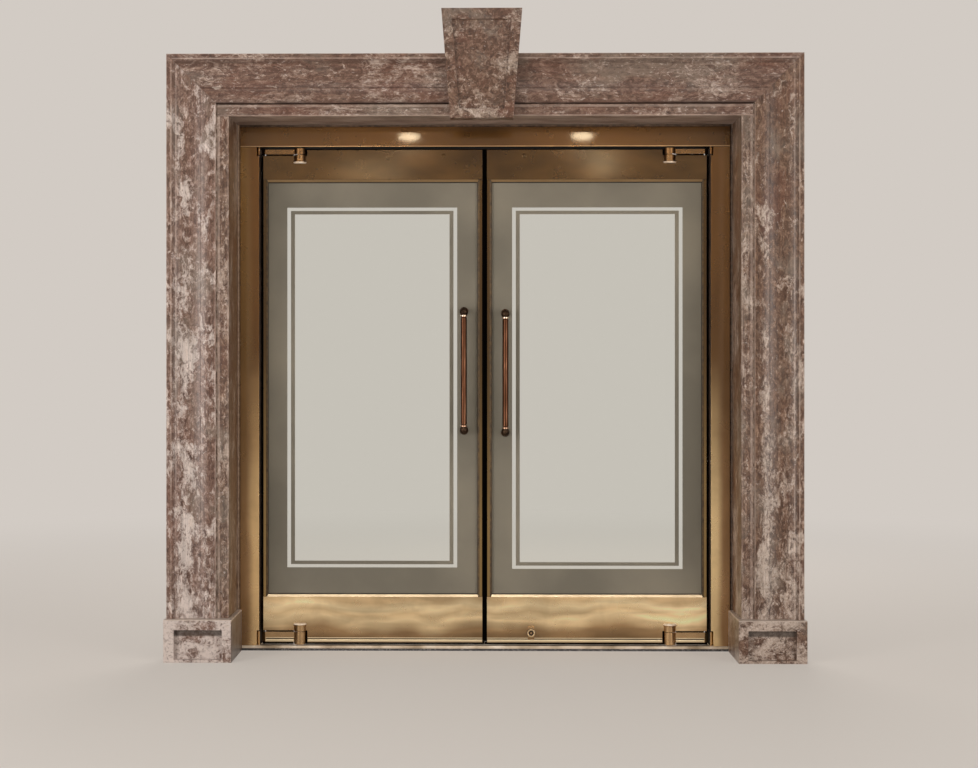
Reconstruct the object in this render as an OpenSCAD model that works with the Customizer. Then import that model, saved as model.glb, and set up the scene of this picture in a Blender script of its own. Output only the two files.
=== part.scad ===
// Pair of glass entrance doors with brass rails, hung on balanced arms
// in a brass frame and a marble surround with a keystone.
// Millimetres. X runs to the right, Y into the building, Z up.

/* [Door opening] */
// Clear width between the brass jambs
opening_w = 1829; // [1500:1:2100]
// Clear height from the sill to the brass head
opening_h = 2032; // [1950:1:2300]
// Thickness of the stone sill bed under the threshold
sill_h = 10; // [6:1:20]
// Thickness of the brass threshold plate
threshold_h = 11; // [10:1:16]

/* [Brass frame] */
// Visible width of each jamb
jamb_face = 77; // [60:1:100]
// Visible height of the head
head_face = 80; // [60:1:100]
// Depth of jambs and head
frame_d = 115; // [100:1:150]
// Width of the sealed joint between brass and marble
joint_w = 10; // [6:1:14]
// Depth of that joint
joint_d = 12; // [6:1:20]

/* [Marble surround] */
// Depth of the reveal in front of the brass frame
reveal_d = 270; // [200:1:320]
// Thickness of the reveal slabs
slab_t = 46; // [30:1:60]
// Thickness of the architrave behind its face
architrave_t = 75; // [50:1:100]
// How far the outer band stands in front of the slab edges
band_out = 28; // [22:1:36]
// How far the plinth blocks stand in front of the slab edges
plinth_out = 52; // [45:1:70]
// Height of the plinth blocks
plinth_h = 167; // [140:1:220]
// Depth of the sunk panel in a plinth block
plinth_sink = 25; // [10:1:35]

/* [Keystone] */
// Width of the keystone at its top
keystone_top_w = 314; // [260:1:360]
// Width of the keystone at its bottom
keystone_bottom_w = 246; // [200:1:255]
// Height of the keystone
keystone_h = 426; // [400:1:460]
// How far its bottom edge hangs below the reveal soffit
keystone_drop = 17; // [0:1:30]
// How far the keystone stands in front of the slab edges
keystone_out = 75; // [60:1:100]
// Depth of its sunk panel
keystone_sink = 12; // [6:1:20]
// How far it is set to the left of the middle
keystone_left = 11; // [0:1:20]

/* [Leaves] */
// Thickness of the leaf rails
leaf_t = 44; // [40:1:50]
// Set-back of the leaves behind the frame face
leaf_setback = 6; // [4:1:12]
// Gap between leaf and jamb
side_gap = 16; // [14:1:18]
// Gap between the two leaves
middle_gap = 19; // [12:1:24]
// Gap between leaf and head
top_gap = 12; // [11:1:16]
// Gap between leaf and threshold
bottom_gap = 12; // [11:1:16]
// Height of the top rail
top_rail_h = 121; // [100:1:150]
// Height of the bottom rail
bottom_rail_h = 185; // [150:1:250]
// Width of the brass channels on the long edges
channel_w = 17; // [12:1:24]
// Thickness of the glass
glass_t = 12; // [10:1:16]

/* [Pivots and arms] */
// Distance of the leaf pivot from the jamb
pivot_x = 165; // [150:1:220]
// Distance of the leaf pivot behind the frame face
pivot_y = 12; // [10:1:16]
// Radius of the pivot knuckles
knuckle_r = 24; // [20:0.5:28]
// Radius of the pivot pins
pin_r = 10; // [8:0.5:12]
// Distance of the arm shaft inside the jamb face
shaft_x = 4; // [2:1:6]
// Distance of the arm shaft behind the frame face
shaft_y = 30; // [28:1:34]
// Radius of the arm shaft
shaft_r = 12; // [10:0.5:13]
// Height of the top arm
top_arm_h = 19; // [14:1:24]
// Height of the bottom arm
bottom_arm_h = 40; // [30:1:44]

/* [Pulls and lock] */
// Distance of the pulls from the middle of the doorway
pull_x = 84; // [70:1:120]
// Height of the middle of the pulls above the floor
pull_z = 1134; // [1000:1:1200]
// How much lower the right leaf's pulls are fixed
right_pull_drop = 8; // [0:1:12]
// Distance between the two posts of a pull
pull_spacing = 483; // [400:1:600]
// Radius of the grip
grip_r = 12.5; // [10:0.5:16]
// Distance from the glass to the middle of the grip
pull_out = 62; // [50:1:75]
// Distance of the lock from the middle of the doorway
lock_x = 188; // [120:1:300]
// Height of the lock above the floor
lock_z = 73; // [65:1:140]

/* [Hidden] */
$fn = 64;

// Colours as seen
marble = [0.47, 0.38, 0.35];
pale_marble = [0.62, 0.55, 0.51];
brass = [0.62, 0.48, 0.28];
dark_brass = [0.38, 0.28, 0.15];
bronze = [0.45, 0.27, 0.18];
frosted = [0.60, 0.58, 0.54, 0.5];
granite = [0.30, 0.29, 0.30];

// The depth is centred on the origin: the keystone is the front,
// the back of the brass frame is the back.
total_d = reveal_d + keystone_out + frame_d;
frame_y = total_d / 2 - frame_d;
back_y = frame_y + frame_d;
slab_y = frame_y - reveal_d;
wall_y = slab_y + architrave_t;
front_y = slab_y - keystone_out;

// Half widths, measured from the middle of the doorway
jamb_x = opening_w / 2;
jamb_outer_x = jamb_x + jamb_face;
reveal_x = jamb_outer_x + joint_w;
slab_outer_x = reveal_x + slab_t;

// Heights above the floor
sill_z = sill_h + threshold_h;
head_z = sill_h + opening_h;
soffit_z = head_z + head_face + joint_w;
slab_top_z = soffit_z + slab_t;

// Architrave moulding, measured outward from the arris of the reveal
groove_w = 4;
groove_d = 12;
bead_start = slab_t + groove_w;
bead_end = 110;
cove_end = 206;
band_start = 220;
band_end = 241;
bead_out = 14;
bead_r = 120;
cove_r = 150;
cove_middle = 140;
cove_depth = 5;
cove_edge_out = cove_depth + cove_r - sqrt(pow(cove_r, 2) - pow(cove_end - cove_middle, 2));

// Plinth blocks
plinth_inner_x = reveal_x - 17;
plinth_outer_x = reveal_x + band_end + 8;
plinth_chamfer = 5;
plinth_border = 41;
plinth_border_low = 12;

// Leaf, as distances from its own jamb towards the middle
leaf_start = side_gap;
leaf_end = jamb_x - middle_gap / 2;
leaf_y = frame_y + leaf_setback;
leaf_low_z = sill_z + bottom_gap;
leaf_top_z = head_z - top_gap;
glass_low_z = leaf_low_z + bottom_rail_h;
glass_top_z = leaf_top_z - top_rail_h;
glass_y = leaf_y + (leaf_t - glass_t) / 2;
channel_inset = 4;

// Arms and knuckles
fit_gap = 0.05;
pocket_gap = 0.1;
clearance = 5;
knuckle_lip = 3;
knuckle_lip_h = 10;
knuckle_chamfer = 4;
notch_end = pivot_x + knuckle_r + 6;
arm_root = shaft_r - 1;
arm_front = 8;
arm_back = 44;
arm_low_z = leaf_low_z + 2;
arm_top_z = head_z - 10;
knuckle_low_z = sill_z + clearance;
knuckle_top_z = head_z - 6;
low_knuckle_z = arm_low_z + bottom_arm_h + 1;
notch_low_z = low_knuckle_z + clearance;
notch_top_z = arm_top_z - top_arm_h - 6;
leaf_knuckle_h = 34;
low_leaf_knuckle_z = low_knuckle_z + 2;
top_knuckle_z = arm_top_z - top_arm_h - 1;
top_leaf_knuckle_z = top_knuckle_z - 3;
pin_l = 26;
root_pin_r = 8;
root_pin_low_l = 7;
root_pin_top_l = 24;
groove_r = shaft_r + 6;
relief_w = 10;
relief_d = 20;

// Pulls
pull_bend_r = 26;
post_r = 10;
rosette_r = 17;
rosette_t = 8;

// Lock
lock_w = 34;
lock_h = 57;
lock_plate_w = 27;
lock_slope = 9;
lock_proud = 6;

// Draws its children on the left, or mirrored on the right
module on_side(side) {
    if (side == "left") children();
    else mirror([1, 0, 0]) children();
}

// Moves from leaf measures (x from the jamb, y from the frame face) to the model
module from_jamb(x, y, z) {
    translate([x - jamb_x, frame_y + y, z]) children();
}

// Outline of the moulding: x runs outward from the arris, y to the front
module moulding_outline() {
    difference() {
        polygon([
            [slab_t, -groove_d],
            [slab_t, -architrave_t],
            [band_end, -architrave_t],
            [band_end, band_out],
            [band_start, band_out],
            [cove_end, cove_edge_out],
            [bead_end, cove_edge_out],
            [bead_end, bead_out],
            [bead_start, bead_out],
            [bead_start, -groove_d]
        ]);
        intersection() {
            translate([bead_end, 0])
                square([cove_end - bead_end, band_out]);
            translate([cove_middle, cove_depth + cove_r])
                circle(r = cove_r, $fn = 180);
        }
        difference() {
            translate([bead_start - 1, 0])
                square([bead_end - bead_start + 1, bead_out + 1]);
            translate([(bead_start + bead_end) / 2, bead_out - bead_r])
                circle(r = bead_r, $fn = 180);
        }
    }
}

// Upright moulding of the left side, cut to a mitre at the top
module architrave_side() {
    run_top = soffit_z + band_end;
    intersection() {
        translate([-reveal_x, slab_y, plinth_h])
            mirror([1, 0, 0]) mirror([0, 1, 0])
            linear_extrude(run_top - plinth_h) moulding_outline();
        translate([0, back_y, 0]) rotate([90, 0, 0])
            linear_extrude(total_d)
            polygon([
                [-reveal_x, plinth_h],
                [-reveal_x, soffit_z],
                [-reveal_x - band_end, run_top],
                [-reveal_x - band_end, plinth_h]
            ]);
    }
}

// Level moulding of the left half, from the mitre to the keystone; shift moves
// the end that meets the keystone
module architrave_top(shift) {
    run_top = soffit_z + band_end;
    intersection() {
        translate([-reveal_x - band_end, slab_y, soffit_z])
            rotate([90, 0, 90])
            linear_extrude(reveal_x + band_end)
            rotate(90) moulding_outline();
        translate([0, back_y, 0]) rotate([90, 0, 0])
            linear_extrude(total_d)
            polygon([
                [-reveal_x, soffit_z],
                [-reveal_x - band_end, run_top],
                [shift - keystone_half(run_top), run_top],
                [shift - keystone_half(soffit_z), soffit_z]
            ]);
    }
}

// Half width of the keystone at a height
function keystone_half(z) =
    (keystone_bottom_w + (keystone_top_w - keystone_bottom_w)
        * (z - soffit_z + keystone_drop) / keystone_h) / 2;

// Front outline of the keystone, drawn in by a border
module keystone_outline(side_border, low_border, top_border) {
    low_z = soffit_z - keystone_drop + low_border;
    high_z = soffit_z - keystone_drop + keystone_h - top_border;
    low_x = keystone_half(low_z) - side_border;
    high_x = keystone_half(high_z) - side_border;
    polygon([[-low_x, low_z], [low_x, low_z], [high_x, high_z], [-high_x, high_z]]);
}

module keystone() {
    color(marble) translate([-keystone_left, 0, 0])
    difference() {
        translate([0, wall_y, 0]) rotate([90, 0, 0])
            linear_extrude(wall_y - front_y) keystone_outline(0, 0, 0);
        translate([0, front_y + keystone_sink, 0]) rotate([90, 0, 0])
            linear_extrude(2 * keystone_sink) keystone_outline(39, 37, 43);
        translate([-keystone_top_w, slab_y, 0])
            cube([2 * keystone_top_w, reveal_d, slab_top_z]);
    }
}

module architrave(side) {
    color(marble) on_side(side) architrave_side();
}

module architrave_head(side) {
    color(marble) on_side(side)
        architrave_top(side == "left" ? -keystone_left : keystone_left);
}

// Plinth block: front part under the architrave, tail along the reveal
module plinth(side) {
    panel_x = -plinth_outer_x + plinth_border;
    panel_w = plinth_outer_x - plinth_inner_x - 2 * plinth_border + 3;
    panel_h = plinth_h - plinth_border - plinth_border_low;
    front = slab_y - plinth_out;
    color(pale_marble) on_side(side)
    difference() {
        union() {
            translate([-plinth_outer_x, front, 0])
                cube([plinth_outer_x - plinth_inner_x, wall_y - front, plinth_h]);
            translate([-slab_outer_x, front, 0])
                cube([slab_outer_x - plinth_inner_x, frame_y - front, plinth_h]);
        }
        translate([panel_x, front - 1, plinth_border_low])
            cube([panel_w, plinth_sink + 1, panel_h]);
        translate([-reveal_x, front, plinth_h]) rotate([45, 0, 0])
            cube([reveal_x, plinth_chamfer, plinth_chamfer], center = true);
        translate([-plinth_inner_x, slab_y, plinth_h]) rotate([0, 45, 0])
            cube([plinth_chamfer, 2 * reveal_d, plinth_chamfer], center = true);
    }
}

// Upright slab of the reveal; behind the frame face it reaches the floor
module reveal(side) {
    color(marble) on_side(side) {
        translate([-slab_outer_x, slab_y, plinth_h])
            cube([slab_t, reveal_d + frame_d, soffit_z - plinth_h]);
        translate([-slab_outer_x, frame_y, 0])
            cube([slab_t, frame_d, plinth_h]);
    }
}

module reveal_head() {
    color(marble)
    translate([-slab_outer_x, slab_y, soffit_z])
        cube([2 * slab_outer_x, reveal_d + frame_d, slab_t]);
}

module stone_sill() {
    color(granite)
    translate([-reveal_x, frame_y, 0])
        cube([2 * reveal_x, frame_d, sill_h]);
}

// Threshold plate with a rounded nose and the two lower shaft bearings
module threshold() {
    nose = 4;
    color(brass)
    difference() {
        union() {
            translate([-reveal_x, frame_y, sill_h])
                cube([2 * reveal_x, frame_d, threshold_h]);
            translate([-plinth_inner_x + 1, frame_y - nose, sill_h])
                cube([2 * plinth_inner_x - 2, nose, threshold_h - nose]);
            translate([-plinth_inner_x + 1, frame_y, sill_z - nose])
                rotate([0, 90, 0])
                cylinder(r = nose, h = 2 * plinth_inner_x - 2);
        }
        for (side = ["left", "right"])
            on_side(side)
            from_jamb(-shaft_x, shaft_y, sill_z - root_pin_low_l - 1)
            cylinder(r = root_pin_r + fit_gap, h = threshold_h);
    }
}

// Brass jamb: round groove for the arm shaft, relief where the arms swing
module frame_jamb(side) {
    color(dark_brass) on_side(side)
    difference() {
        translate([-reveal_x, frame_y, sill_z])
            cube([reveal_x - jamb_x, frame_d, head_z - sill_z]);
        translate([-reveal_x - 1, frame_y - 1, sill_z - 1])
            cube([joint_w + 1, joint_d + 1, head_z]);
        from_jamb(-shaft_x, shaft_y, sill_z - 1)
            cylinder(r = groove_r, h = head_z);
        from_jamb(-relief_w, -1, sill_z - 1)
            cube([relief_w + 1, relief_d, notch_low_z - sill_z + 1]);
        from_jamb(-relief_w, -1, notch_top_z)
            cube([relief_w + 1, relief_d, head_z]);
    }
}

// Brass head over both jambs, with the two upper shaft bearings
module frame_head() {
    color(dark_brass)
    difference() {
        translate([-reveal_x, frame_y, head_z])
            cube([2 * reveal_x, frame_d, soffit_z - head_z]);
        translate([-reveal_x - 1, frame_y - 1, head_z + head_face])
            cube([2 * reveal_x + 2, joint_d + 1, joint_w + 1]);
        for (side = ["left", "right"]) on_side(side) {
            translate([-reveal_x - 1, frame_y - 1, head_z - 1])
                cube([joint_w + 1, joint_d + 1, soffit_z]);
            from_jamb(-shaft_x, shaft_y, head_z - 1)
                cylinder(r = root_pin_r + fit_gap, h = root_pin_top_l);
        }
    }
}

// Outer shape of a leaf knuckle; its chamfered lip is at z = 0
module knuckle_body(grow) {
    translate([0, 0, -grow])
        cylinder(r1 = knuckle_r + knuckle_lip - knuckle_chamfer + grow,
                 r2 = knuckle_r + knuckle_lip + grow, h = knuckle_chamfer);
    translate([0, 0, knuckle_chamfer - grow])
        cylinder(r = knuckle_r + knuckle_lip + grow,
                 h = knuckle_lip_h - knuckle_chamfer + 2 * grow);
    translate([0, 0, knuckle_chamfer - grow])
        cylinder(r = knuckle_r + grow, h = leaf_knuckle_h - knuckle_chamfer + 2 * grow);
}

// Puts the leaf knuckle where the top or the bottom pivot is
module at_top_pivot() {
    from_jamb(pivot_x, pivot_y, top_leaf_knuckle_z - leaf_knuckle_h) children();
}

module at_bottom_pivot() {
    from_jamb(pivot_x, pivot_y, low_leaf_knuckle_z + leaf_knuckle_h)
        mirror([0, 0, 1]) children();
}

// Top rail, notched over the arm
module top_rail(side) {
    color(dark_brass) on_side(side)
    difference() {
        from_jamb(leaf_start, leaf_setback, glass_top_z)
            cube([leaf_end - leaf_start, leaf_t, top_rail_h]);
        from_jamb(leaf_start - 1, leaf_setback - 1, notch_top_z)
            cube([notch_end - leaf_start + 1, leaf_t + 2, top_rail_h]);
        at_top_pivot() knuckle_body(pocket_gap);
    }
}

// Bottom rail, notched over the arm; the right one is bored for the lock
module bottom_rail(side) {
    color(brass) on_side(side)
    difference() {
        from_jamb(leaf_start, leaf_setback, leaf_low_z)
            cube([leaf_end - leaf_start, leaf_t, bottom_rail_h]);
        from_jamb(leaf_start - 1, leaf_setback - 1, leaf_low_z - 1)
            cube([notch_end - leaf_start + 1, leaf_t + 2, notch_low_z - leaf_low_z + 1]);
        at_bottom_pivot() knuckle_body(pocket_gap);
        if (side == "right")
            translate([-lock_x, leaf_y - 1, lock_z]) rotate([-90, 0, 0])
            cylinder(r = lock_w / 2 + pocket_gap, h = leaf_t + 2);
    }
}

module glass(side) {
    color(frosted) on_side(side)
    translate([leaf_start + channel_w - jamb_x, glass_y, glass_low_z])
        cube([leaf_end - leaf_start - 2 * channel_w, glass_t, glass_top_z - glass_low_z]);
}

// Brass channel along a long edge of the glass
module edge_channel(side, x) {
    color(brass) on_side(side)
    from_jamb(x, leaf_setback + channel_inset, glass_low_z)
        cube([channel_w, leaf_t - 2 * channel_inset, glass_top_z - glass_low_z]);
}

module hinge_edge(side) {
    edge_channel(side, leaf_start);
}

module meeting_edge(side) {
    edge_channel(side, leaf_end - channel_w);
}

// One end of a pull: rosette, post and bend; the grip runs down from it
module pull_end() {
    rotate([90, 0, 0]) cylinder(r = rosette_r, h = rosette_t);
    rotate([90, 0, 0]) cylinder(r = post_r, h = pull_out - pull_bend_r);
    translate([0, pull_bend_r - pull_out, -pull_bend_r])
        rotate([180, -90, 0])
        rotate_extrude(angle = 90)
        translate([pull_bend_r, 0]) circle(r = post_r);
}

// Pull bar on one face of the glass, drawn for the outside
module pull() {
    grip_half = pull_spacing / 2 - pull_bend_r;
    translate([0, 0, pull_spacing / 2]) pull_end();
    translate([0, 0, -pull_spacing / 2]) mirror([0, 0, 1]) pull_end();
    translate([0, -pull_out, -grip_half])
        cylinder(r = grip_r, h = 2 * grip_half);
}

// Height of the middle of one leaf's pulls
function pull_height(side) = side == "right" ? pull_z - right_pull_drop : pull_z;

module outside_pull(side) {
    color(bronze) on_side(side)
    translate([-pull_x, glass_y, pull_height(side)]) pull();
}

module inside_pull(side) {
    color(bronze) on_side(side)
    translate([-pull_x, glass_y + glass_t, pull_height(side)]) mirror([0, 1, 0]) pull();
}

// Leaf knuckle with a blind bore that the arm's pin turns in
module leaf_knuckle() {
    difference() {
        knuckle_body(0);
        translate([0, 0, leaf_knuckle_h - pin_l - 2])
            cylinder(r = pin_r + fit_gap, h = pin_l + 3);
    }
}

module top_knuckle(side) {
    color(dark_brass) on_side(side) at_top_pivot() leaf_knuckle();
}

module bottom_knuckle(side) {
    color(brass) on_side(side) at_bottom_pivot() leaf_knuckle();
}

// Arm seen from above, from the shaft to the leaf pivot
module arm_outline() {
    translate([-shaft_x, shaft_y]) circle(r = shaft_r);
    polygon([
        [-shaft_x, shaft_y - arm_root],
        [8, shaft_y - arm_root],
        [24, arm_front],
        [pivot_x, arm_front],
        [pivot_x, arm_back],
        [12, arm_back],
        [-shaft_x, shaft_y + shaft_r]
    ]);
}

// Arm plate with its knuckle; z is the underside of the plate
module arm_plate(z, plate_h, knuckle_z, knuckle_h) {
    from_jamb(0, 0, z) linear_extrude(plate_h) arm_outline();
    from_jamb(pivot_x, pivot_y, knuckle_z) cylinder(r = knuckle_r, h = knuckle_h);
}

module top_arm(side) {
    color(dark_brass) on_side(side) {
        arm_plate(arm_top_z - top_arm_h, top_arm_h, top_knuckle_z,
                  knuckle_top_z - top_knuckle_z);
        from_jamb(pivot_x, pivot_y, top_leaf_knuckle_z - pin_l)
            cylinder(r = pin_r, h = pin_l + 5);
        from_jamb(-shaft_x, shaft_y, arm_top_z - 1)
            cylinder(r = root_pin_r, h = root_pin_top_l - 2);
        from_jamb(-shaft_x, shaft_y, arm_top_z - top_arm_h)
            cylinder(r = shaft_r, h = top_arm_h + 6);
    }
}

module bottom_arm(side) {
    color(brass) on_side(side) {
        arm_plate(arm_low_z, bottom_arm_h, knuckle_low_z, low_knuckle_z - knuckle_low_z);
        from_jamb(pivot_x, pivot_y, low_knuckle_z - 1)
            cylinder(r = pin_r, h = pin_l + 3);
        from_jamb(-shaft_x, shaft_y, sill_z - root_pin_low_l)
            cylinder(r = root_pin_r, h = arm_low_z - sill_z + root_pin_low_l + 1);
        from_jamb(-shaft_x, shaft_y, sill_z + clearance)
            cylinder(r = shaft_r, h = arm_low_z - sill_z);
    }
}

module arm_shaft(side) {
    low_z = arm_low_z + bottom_arm_h;
    color(dark_brass) on_side(side)
    from_jamb(-shaft_x, shaft_y, low_z)
        cylinder(r = shaft_r, h = arm_top_z - top_arm_h - low_z);
}

// Upright plate with sloped ends on one face of the rail
module lock_boss() {
    rotate([90, 0, 90]) linear_extrude(lock_plate_w, center = true)
    polygon([
        [0, -lock_h / 2],
        [-2, -lock_h / 2],
        [-lock_proud, lock_slope - lock_h / 2],
        [-lock_proud, lock_h / 2 - lock_slope],
        [-2, lock_h / 2],
        [0, lock_h / 2]
    ]);
}

module lock_cylinder() {
    color(brass)
    difference() {
        union() {
            translate([lock_x, leaf_y, lock_z]) lock_boss();
            translate([lock_x, leaf_y + leaf_t, lock_z]) mirror([0, 1, 0]) lock_boss();
            translate([lock_x, leaf_y - lock_proud - 3, lock_z]) rotate([-90, 0, 0])
                cylinder(r = lock_w / 2 - 0.5, h = leaf_t + 2 * lock_proud + 6);
        }
        translate([lock_x - 1.5, leaf_y - lock_proud - 4, lock_z - 6])
            cube([3, 8, 12]);
    }
}

architrave("left");  // architrave_left
architrave("right");  // architrave_right
architrave_head("left");  // architrave_head_left
architrave_head("right");  // architrave_head_right
keystone();
plinth("left");  // plinth_left
plinth("right");  // plinth_right
reveal("left");  // reveal_left
reveal("right");  // reveal_right
reveal_head();
stone_sill();
threshold();
frame_jamb("left");  // frame_jamb_left
frame_jamb("right");  // frame_jamb_right
frame_head();
top_rail("left");  // left_top_rail
bottom_rail("left");  // left_bottom_rail
glass("left");  // left_glass
hinge_edge("left");  // left_hinge_edge
meeting_edge("left");  // left_meeting_edge
outside_pull("left");  // left_outside_pull
inside_pull("left");  // left_inside_pull
top_knuckle("left");  // left_top_knuckle
bottom_knuckle("left");  // left_bottom_knuckle
top_arm("left");  // left_top_arm
bottom_arm("left");  // left_bottom_arm
arm_shaft("left");  // left_arm_shaft
top_rail("right");  // right_top_rail
bottom_rail("right");  // right_bottom_rail
glass("right");  // right_glass
hinge_edge("right");  // right_hinge_edge
meeting_edge("right");  // right_meeting_edge
outside_pull("right");  // right_outside_pull
inside_pull("right");  // right_inside_pull
top_knuckle("right");  // right_top_knuckle
bottom_knuckle("right");  // right_bottom_knuckle
top_arm("right");  // right_top_arm
bottom_arm("right");  // right_bottom_arm
arm_shaft("right");  // right_arm_shaft
lock_cylinder();
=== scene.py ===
import math

import bpy
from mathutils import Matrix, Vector


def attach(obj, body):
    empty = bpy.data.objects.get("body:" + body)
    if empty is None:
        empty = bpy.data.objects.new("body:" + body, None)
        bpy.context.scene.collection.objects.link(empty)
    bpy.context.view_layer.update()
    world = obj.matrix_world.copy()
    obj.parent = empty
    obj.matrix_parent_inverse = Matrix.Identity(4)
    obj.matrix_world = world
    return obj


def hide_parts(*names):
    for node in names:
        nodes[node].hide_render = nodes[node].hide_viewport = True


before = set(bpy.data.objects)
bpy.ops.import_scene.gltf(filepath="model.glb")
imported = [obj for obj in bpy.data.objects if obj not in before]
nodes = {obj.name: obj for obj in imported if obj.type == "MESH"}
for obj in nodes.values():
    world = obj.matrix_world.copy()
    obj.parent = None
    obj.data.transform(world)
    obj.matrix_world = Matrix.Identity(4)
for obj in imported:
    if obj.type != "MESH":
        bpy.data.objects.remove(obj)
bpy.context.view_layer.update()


# Marble blocks of the surround: brown-red broken marble with pale calcite
# patches and veins. Sawn, moulded and polished, the arrises eased by hand, set
# in thin joints.
def deselect_all():
    """Leaves object mode with nothing selected."""
    if bpy.context.object and bpy.context.object.mode != "OBJECT":
        bpy.ops.object.mode_set(mode="OBJECT")
    bpy.ops.object.select_all(action="DESELECT")


def pick(piece):
    """Makes one piece the only selected and active one."""
    deselect_all()
    piece.select_set(True)
    bpy.context.view_layer.objects.active = piece


def ease_normals(piece, angle=35):
    """Smooth shading over the eased arrises, flat faces kept flat."""
    pick(piece)
    bpy.ops.object.shade_smooth_by_angle(angle=math.radians(angle))
    weighted = piece.modifiers.new("weighted", "WEIGHTED_NORMAL")
    weighted.keep_sharp = True
    bpy.ops.object.modifier_apply(modifier="weighted")
    return piece


def settle(piece, name, body, finish):
    """Names a finished piece, gives it its material and the body it rides on."""
    piece.name = name
    piece.data.name = name
    piece.data.materials.clear()
    piece.data.materials.append(finish)
    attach(piece, body)


def dressed(node, body, finish, arris, segments=2):
    """A worked copy of a solid: its sharp edges rounded to a small arris."""
    piece = nodes[node].copy()
    piece.data = nodes[node].data.copy()
    bpy.context.scene.collection.objects.link(piece)
    for key in list(piece.keys()):
        del piece[key]
    piece.parent = None
    pick(piece)
    if piece.data.has_custom_normals:
        bpy.ops.mesh.customdata_custom_splitnormals_clear()
    bpy.ops.object.mode_set(mode="EDIT")
    bpy.ops.mesh.select_all(action="SELECT")
    bpy.ops.mesh.remove_doubles(threshold=0.00002)
    bpy.ops.mesh.dissolve_limited(angle_limit=math.radians(0.5))
    bpy.ops.mesh.select_all(action="DESELECT")
    bpy.ops.mesh.select_mode(type="EDGE")
    bpy.ops.mesh.edges_select_sharp(sharpness=math.radians(30))
    bpy.ops.mesh.bevel(offset=arris, segments=segments, clamp_overlap=True)
    ease_normals(piece)
    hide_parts(node)
    settle(piece, node + "_dressed", body, finish)


def linear(code):
    """An sRGB hex colour as linear red, green, blue and alpha."""
    out = []
    for at in (1, 3, 5):
        c = int(code[at:at + 2], 16) / 255
        out.append(c / 12.92 if c <= 0.04045 else ((c + 0.055) / 1.055) ** 2.4)
    return (*out, 1.0)


def feed(tree, node, sockets):
    """Sets sockets of a node. Each takes a value, a hex colour, an output, or a node
    for its first output."""
    for key, value in sockets.items():
        if isinstance(value, bpy.types.Node):
            value = value.outputs[0]
        if isinstance(value, bpy.types.NodeSocket):
            tree.links.new(value, node.inputs[key])
        elif isinstance(value, str):
            node.inputs[key].default_value = linear(value)
        else:
            node.inputs[key].default_value = value


def add(tree, kind, sockets=None, stops=None, **settings):
    """Adds a node with its settings, what feeds it and the stops of a colour ramp."""
    made = tree.nodes.new("ShaderNode" + kind)
    for name, value in settings.items():
        setattr(made, name, value)
    feed(tree, made, sockets or {})
    if stops:
        steps = made.color_ramp.elements
        while len(steps) < len(stops):
            steps.new(1.0)
        for step, (place, value) in zip(steps, stops):
            step.position = place
            step.color = linear(value) if isinstance(value, str) else (value,) * 3 + (1,)
    return made


def blank(name):
    """A new material, its node tree, its surface shader and its coordinates."""
    material = bpy.data.materials.new(name)
    material.use_nodes = True
    tree = material.node_tree
    tree.nodes.clear()
    shader = add(tree, "BsdfPrincipled")
    add(tree, "OutputMaterial", {"Surface": shader})
    return material, tree, shader, add(tree, "TexCoord").outputs["Object"]


def shards(tree, vector, scale, half, share):
    """Mask of small lens-shaped pieces, each turned its own way. half is half their
    length, thickness and width, share how many of the places hold one."""
    cell = add(tree, "TexVoronoi", {"Vector": vector, "Scale": scale})
    local = add(tree, "VectorMath", {0: vector, 1: cell.outputs["Position"]},
                operation="SUBTRACT")
    angle = add(tree, "VectorMath", {0: cell.outputs["Color"], "Scale": 6.28},
                operation="SCALE")
    turned_way = add(tree, "VectorRotate", {"Vector": local, "Rotation": angle},
                     rotation_type="EULER_XYZ")
    shape = add(tree, "VectorMath", {0: turned_way, 1: [1 / h for h in half]},
                operation="MULTIPLY")
    length = add(tree, "VectorMath", {0: shape}, operation="LENGTH")
    piece = add(tree, "MapRange", {"Value": length.outputs["Value"], "From Min": 1.05,
                                   "From Max": 0.8})
    tone = add(tree, "SeparateColor", {"Color": cell.outputs["Color"]})
    picked = add(tree, "MapRange", {"Value": tone.outputs[2], "From Min": 1 - share,
                                    "From Max": 1.01 - share})
    return add(tree, "Math", {0: piece, 1: picked}, operation="MULTIPLY")


# Metres. The doorway's arris, how far the moulding runs outward from it, and the
# panel of a plinth block.
doorway_x, doorway_z, moulding = 1.0015, 2.132, 0.25
plinth_top, panel_near, panel_far, panel_y, panel_shade = 0.167, 1.0, 1.24, -0.2, 0.098
plinth_side = 0.988


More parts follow.
